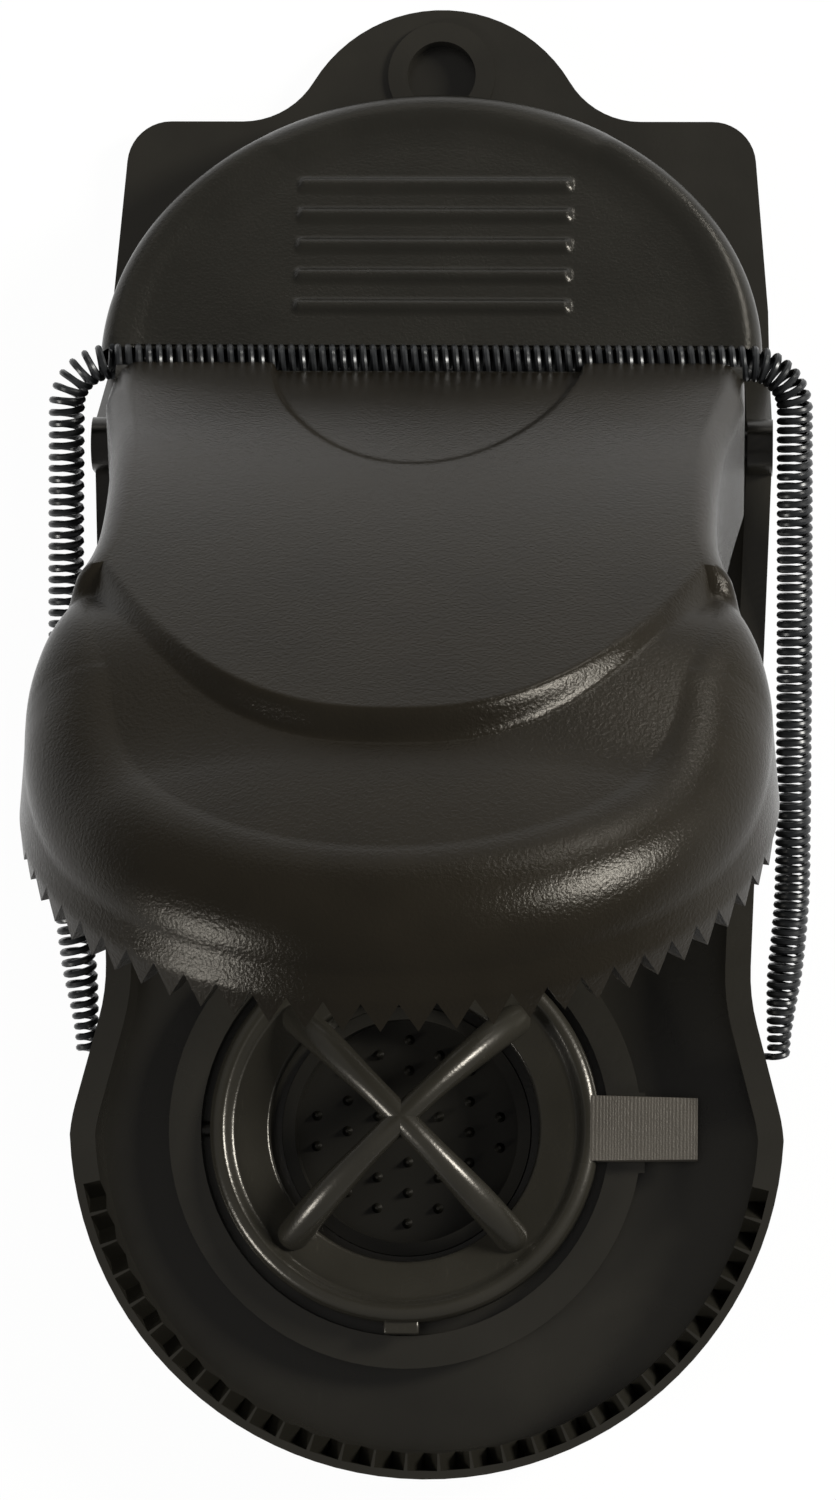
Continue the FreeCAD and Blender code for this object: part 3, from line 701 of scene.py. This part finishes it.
def round_ended(path, radius, sides=20):
    """Tube whose ends are domes. radius holds one value for each point of the path."""
    path = np.asarray(path, float)
    caps = np.linspace(0, math.pi / 2, 9)[1:]
    caps[-1] = math.pi / 2 - 0.12
    first = path[0] - path[1]
    last = path[-1] - path[-2]
    first, last = first / np.linalg.norm(first), last / np.linalg.norm(last)
    head = [path[0] + first * radius[0] * math.sin(t) for t in caps[::-1]]
    tail = [path[-1] + last * radius[-1] * math.sin(t) for t in caps]
    head_r = [radius[0] * math.cos(t) for t in caps[::-1]]
    tail_r = [radius[-1] * math.cos(t) for t in caps]
    return tube(head + list(path) + tail, head_r + list(radius) + tail_r, sides)


def box_shell(low, high):
    """Block between two corners."""
    corners = [(x, y, z) for x in (low[0], high[0]) for y in (low[1], high[1]) for z in (low[2], high[2])]
    return corners, [(0, 1, 3, 2), (4, 6, 7, 5), (0, 4, 5, 1), (2, 3, 7, 6), (0, 2, 6, 4), (1, 5, 7, 3)]


def make_trigger():
    make_ring()
    make_cage()
    make_pad()
    nub, faces = box_shell((-1.25, -RING_OUT - 0.8, 6.5), (1.25, -RING_OUT + 0.5, 7.1))
    make_piece("trigger_gate_nub", tilted(nub), faces, "trigger", "trigger", TRIGGER_MAT, bevel=0.15)
    make_pins()
    make_arm()


def make_ring():
    """Flat ring with a rolled lip, which stands for the CAD trigger."""
    edge = [(9.72, 6.0), (9.6, 6.12), (9.6, 7.0), (9.68, 7.15), (9.85, 7.2), (12.1, 7.2)]
    edge += [(12.1 + 1.05 * t, 7.2 + 0.62 * smooth(t * 1.15)) for t in np.linspace(0.1, 1, 12)]
    lip = np.linspace(0.15, math.pi / 2, 12)
    edge += [(13.15 + 0.75 * math.sin(t), 7.08 + 0.74 * math.cos(t)) for t in lip]
    edge += [(13.9, 6.2), (13.85, 6.05), (13.7, 6.0), (11.5, 6.0)]
    verts, faces = lathe([(float(r), float(z)) for r, z in edge], 240)
    ring = make_piece("trigger_ring", tilted(verts), faces, "trigger", "trigger", TRIGGER_MAT, sharp=60)
    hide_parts("trigger")


def make_cage():
    """Two bowed bars that cross over the bait."""
    arc_r = (CAGE_SPAN**2 + CAGE_RISE**2) / (2 * CAGE_RISE)
    u = np.linspace(-CAGE_SPAN, CAGE_SPAN, 90)
    z = CAGE_LOW + CAGE_RISE - arc_r + np.sqrt(arc_r**2 - u**2)
    thick = 0.92 + 0.26 * smooth((np.abs(u) - 2) / 7)
    bars = []
    for turn in (45, 135):
        c, s = math.cos(math.radians(turn)), math.sin(math.radians(turn))
        verts, faces = round_ended(np.stack([u * c, u * s, z], 1), thick)
        bars.append((tilted(verts), faces))
    join("trigger_cage", bars, "trigger", "trigger", TRIGGER_MAT)


def make_pad():
    """Side pad with a finely ribbed top."""
    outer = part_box("trigger")[1][0] / MM - TRIG_X
    x = np.linspace(RING_OUT - 0.7, outer, 190)
    across = np.linspace(-1, 1, 25)
    top, low = [], []
    for xi in x:
        half = PAD_HALF - PAD_NARROWS * (xi - x[0]) / (x[-1] - x[0])
        rib = PAD_RIB_HEIGHT * math.sin(2 * math.pi * xi / PAD_RIB_STEP + 2 * math.sin(2.1 * xi))
        for k in across:
            top.append((xi, half * k, PAD_TOP - 0.08 * k * k + rib))
            low.append((xi, half * k, PAD_LOW))
    n = len(across)
    shift = len(top)
    faces = grid_faces(len(x), n) + grid_faces(len(x), n, start=shift)
    long_edges = [(i * n + j, (i + 1) * n + j) for i in range(len(x) - 1) for j in (0, n - 1)]
    short_edges = [(i * n + j, i * n + j + 1) for i in (0, len(x) - 1) for j in range(n - 1)]
    faces += [(a, b, b + shift, a + shift) for a, b in long_edges + short_edges]
    # the pad's lighter grey material is painted light
    make_piece("trigger_pad", tilted(top + low), faces, "trigger", "trigger", PAD_PAINTED_LIGHT_MAT, bevel=0.14)


def make_pins():
    """Pins that the ring rocks on, each with a web up to the ring."""
    parts = []
    for side in (-1, 1):
        x0, x1 = side * (RING_OUT - 1.6), side * (RING_OUT + 2.2)
        parts.append(tube([(t, 0, PIVOT_Z) for t in np.linspace(x0, x1, 8)], PIN_R, 24))
        web = sorted((x0, x0 + side * 1.2))
        parts.append(box_shell((web[0], -PIN_R, PIVOT_Z - 0.5), (web[1], PIN_R, 6.3)))
    parts = [(tilted(v), f) for v, f in parts]
    join("trigger_pins", parts, "trigger", "trigger", TRIGGER_MAT, bevel=0.1)


def make_arm():
    """Arm to the hinge, with the hook behind the sear."""
    hook_y = SEAR_Y + 1.0
    hook_z = HINGE_Z - math.sqrt(HOOK_REACH**2 - (HINGE_Y - hook_y) ** 2)
    root = TRIG_Y + RING_OUT - 1.2
    under = [(root, 4.7), (root + 4, 4.7), (root + 9, hook_z + 1.2)]
    line = under + [(hook_y, hook_z + 1.2), (hook_y, hook_z)]
    line += [(hook_y + 1.2, hook_z), (hook_y + 1.2, hook_z + 2.5)]
    line += [(y, z + ARM_THICK) for y, z in reversed(under)]
    verts = [(TRIG_X + side * ARM_HALF, y, z) for side in (-1, 1) for y, z in line]
    n = len(line)
    faces = [tuple(range(n)), tuple(range(n, 2 * n))]
    faces += [(i, (i + 1) % n, (i + 1) % n + n, i + n) for i in range(n)]
    make_piece("trigger_arm", verts, faces, "trigger", "trigger", TRIGGER_MAT, sharp=25, bevel=0.25)


# Nodes that stay as packed -------------------------------------------------

def finish_cad_nodes():
    """Better materials and softened edges on the CAD nodes that show; the bait cup's is darkened as
    painted shade.
    """
    for name, material, edge in (("base", BASE_MAT, 0.18), ("bait_cup", CUP_PAINTED_SHADE_MAT, 0.06)):
        node = frame["nodes"][name]
        node.data.materials.clear()
        node.data.materials.append(material)
        add_bevel(node, edge, 32, 3)


# Stage ---------------------------------------------------------------------

WARM_WHITE = (1.0, 0.97, 0.90)
FLOOR_GLOW = 0.97      # share of the floor's look that is plain white
WORLD_LEVEL = 0.26


def area_light(name, place, target, size, power):
    data = bpy.data.lights.new(name, "AREA")
    data.shape = "RECTANGLE"
    data.size, data.size_y = size
    data.energy = power
    data.color = WARM_WHITE
    light = bpy.data.objects.new(name, data)
    light.location = place
    light.rotation_euler = (Vector(target) - Vector(place)).to_track_quat("-Z", "Y").to_euler()
    bpy.context.scene.collection.objects.link(light)


# the camera's place was found by matching outlines in the photograph
EYE = Vector((20.2, -35.5, 430)) * MM
LOOK_AT = Vector((-1.33, -0.9, 0)) * MM
VIEW_HEIGHT = math.radians(14.40)
ROLL = math.radians(0.60)
SENSOR = 36


def make_camera():
    data = bpy.data.cameras.new("camera")
    data.sensor_fit = "VERTICAL"
    data.sensor_height = SENSOR
    data.lens = SENSOR / 2 / math.tan(VIEW_HEIGHT / 2)
    data.clip_start = 0.01
    cam = bpy.data.objects.new("camera", data)
    back = (EYE - LOOK_AT).normalized()
    right = Vector((0, 1, 0)).cross(back).normalized()
    up = back.cross(right)
    c, s = math.cos(ROLL), math.sin(ROLL)
    right, up = right * c + up * s, up * c - right * s
    cam.matrix_world = Matrix((
        (right.x, up.x, back.x, EYE.x),
        (right.y, up.y, back.y, EYE.y),
        (right.z, up.z, back.z, EYE.z),
        (0, 0, 0, 1),
    ))
    bpy.context.scene.collection.objects.link(cam)
    bpy.context.scene.camera = cam


def seen_rays(nt):
    """1 on the rays that show the backdrop: camera, glossy and transmission."""
    path = add_node(nt, "LightPath")
    total = path.outputs["Is Camera Ray"]
    for kind in ("Is Glossy Ray", "Is Transmission Ray"):
        most = add_node(nt, "Math")
        most.operation = "MAXIMUM"
        nt.links.new(total, most.inputs[0])
        nt.links.new(path.outputs[kind], most.inputs[1])
        total = most.outputs[0]
    return total


def make_stage():
    make_floor()
    make_world()


def make_floor():
    """White floor that still takes the object's shadow."""
    bpy.ops.mesh.primitive_plane_add(size=3, location=(0, 0, 0))
    floor = bpy.context.object
    floor.name = "floor"
    mat = bpy.data.materials.new("floor_white")
    mat.use_nodes = True
    nt = mat.node_tree
    nt.nodes.clear()
    out = add_node(nt, "OutputMaterial")
    mix = add_node(nt, "MixShader")
    diffuse = add_node(nt, "BsdfDiffuse", {"Color": (0.85, 0.85, 0.84, 1)})
    glow = add_node(nt, "Emission", {"Color": (1, 1, 1, 1)})
    share = add_node(nt, "Math")
    share.operation = "MULTIPLY"
    share.inputs[1].default_value = FLOOR_GLOW
    nt.links.new(seen_rays(nt), share.inputs[0])
    nt.links.new(share.outputs[0], mix.inputs[0])
    nt.links.new(diffuse.outputs[0], mix.inputs[1])
    nt.links.new(glow.outputs[0], mix.inputs[2])
    nt.links.new(mix.outputs[0], out.inputs[0])
    floor.data.materials.append(mat)


def make_world():
    """White to the camera, and a plain dim grey to every other ray."""
    world = bpy.data.worlds.new("studio")
    bpy.context.scene.world = world
    world.use_nodes = True
    nt = world.node_tree
    sky = nt.nodes["Background"]
    sky.inputs["Color"].default_value = (1, 1, 1, 1)
    path = add_node(nt, "LightPath")
    level = add_node(nt, "MapRange", {"To Min": WORLD_LEVEL, "To Max": 1.0})
    nt.links.new(path.outputs["Is Camera Ray"], level.inputs["Value"])
    nt.links.new(level.outputs["Result"], sky.inputs["Strength"])


def make_lights():
    area_light("softbox_right", (0.38, 0.14, 0.30), (0.0, -0.01, 0.04), (0.10, 0.16), 3.5)
    area_light("softbox_left", (-0.39, -0.23, 0.24), (0.0, -0.01, 0.04), (0.12, 0.12), 1.5)
    area_light("softbox_rear", (0.23, 0.46, 0.21), (0.0, 0.03, 0.02), (0.08, 0.08), 0.5)
    area_light("fill_rear", (0.0, 0.50, 0.16), (0.0, 0.0, 0.03), (0.5, 0.12), 0.15)


make_springs()
make_jaw()
make_trigger()
finish_cad_nodes()
make_camera()
make_stage()
make_lights()
scene = bpy.context.scene
scene.view_settings.view_transform = "Standard"
bpy.context.view_layer.update()
